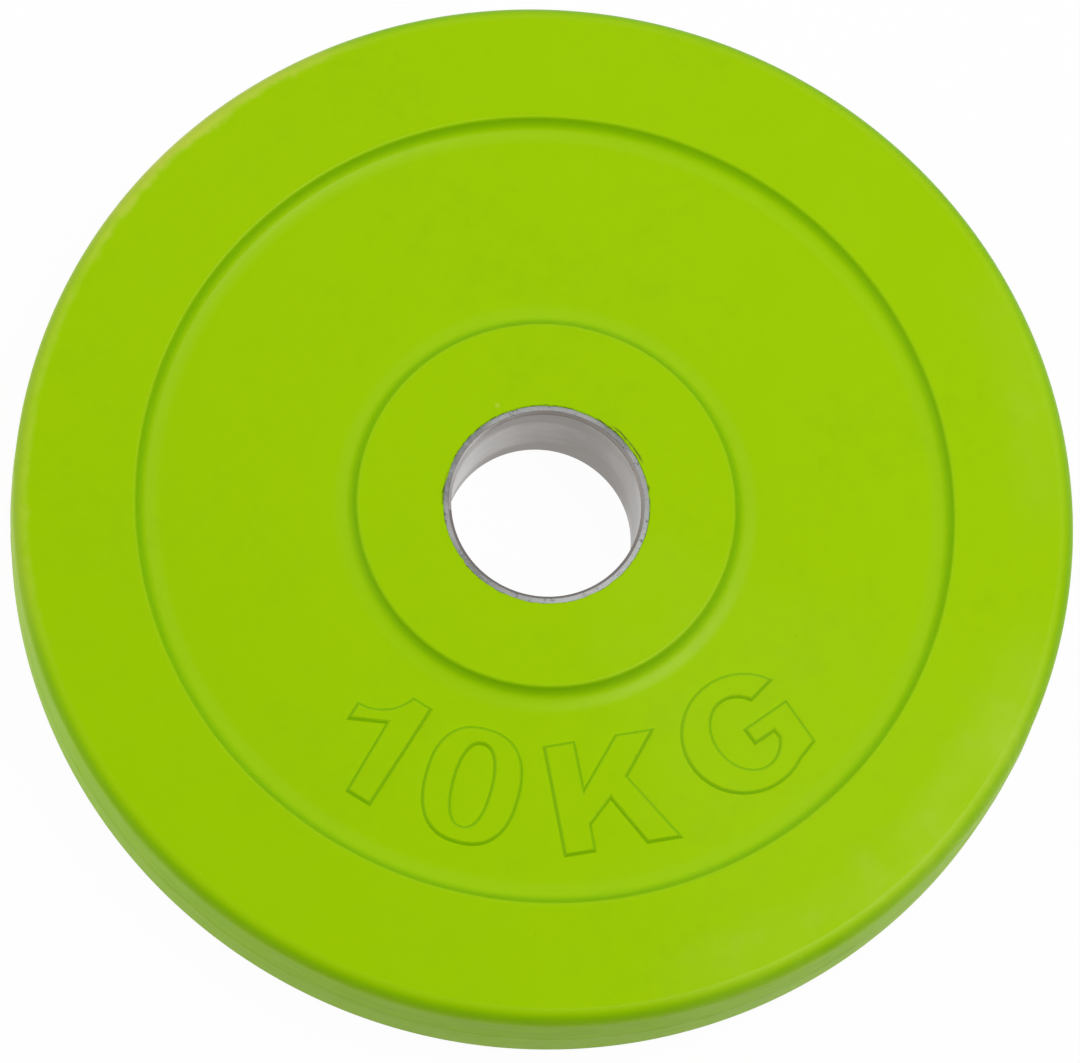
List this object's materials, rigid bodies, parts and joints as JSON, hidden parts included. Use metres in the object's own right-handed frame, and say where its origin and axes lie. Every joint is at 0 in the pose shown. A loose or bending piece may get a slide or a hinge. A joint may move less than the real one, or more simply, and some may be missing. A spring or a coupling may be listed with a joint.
{
  "type": "rubber coated weight plate",
  "caption": "Round gym weight plate: iron core in coloured rubber with raised rim and hub, a raised weight mark and a steel bushed bore for a bar sleeve.",
  "frame": {"origin": "middle of the back face, on the axis of the bore, where the plate lies on the floor", "axes": "+Z along the bore's axis, out of the front face; the weight mark on the front is centred on -Y and reads upright from there"},
  "size_m": [0.2834, 0.2834, 0.0335],
  "materials": {
    "core_iron": "matte",
    "coat_rubber": "satin",
    "bush_steel": "satin"
  },
  "bodies": {
    "root": {"cast_iron_core": "core_iron", "rubber_coat": "coat_rubber", "steel_bush": "bush_steel"}
  },
  "joints": []
}
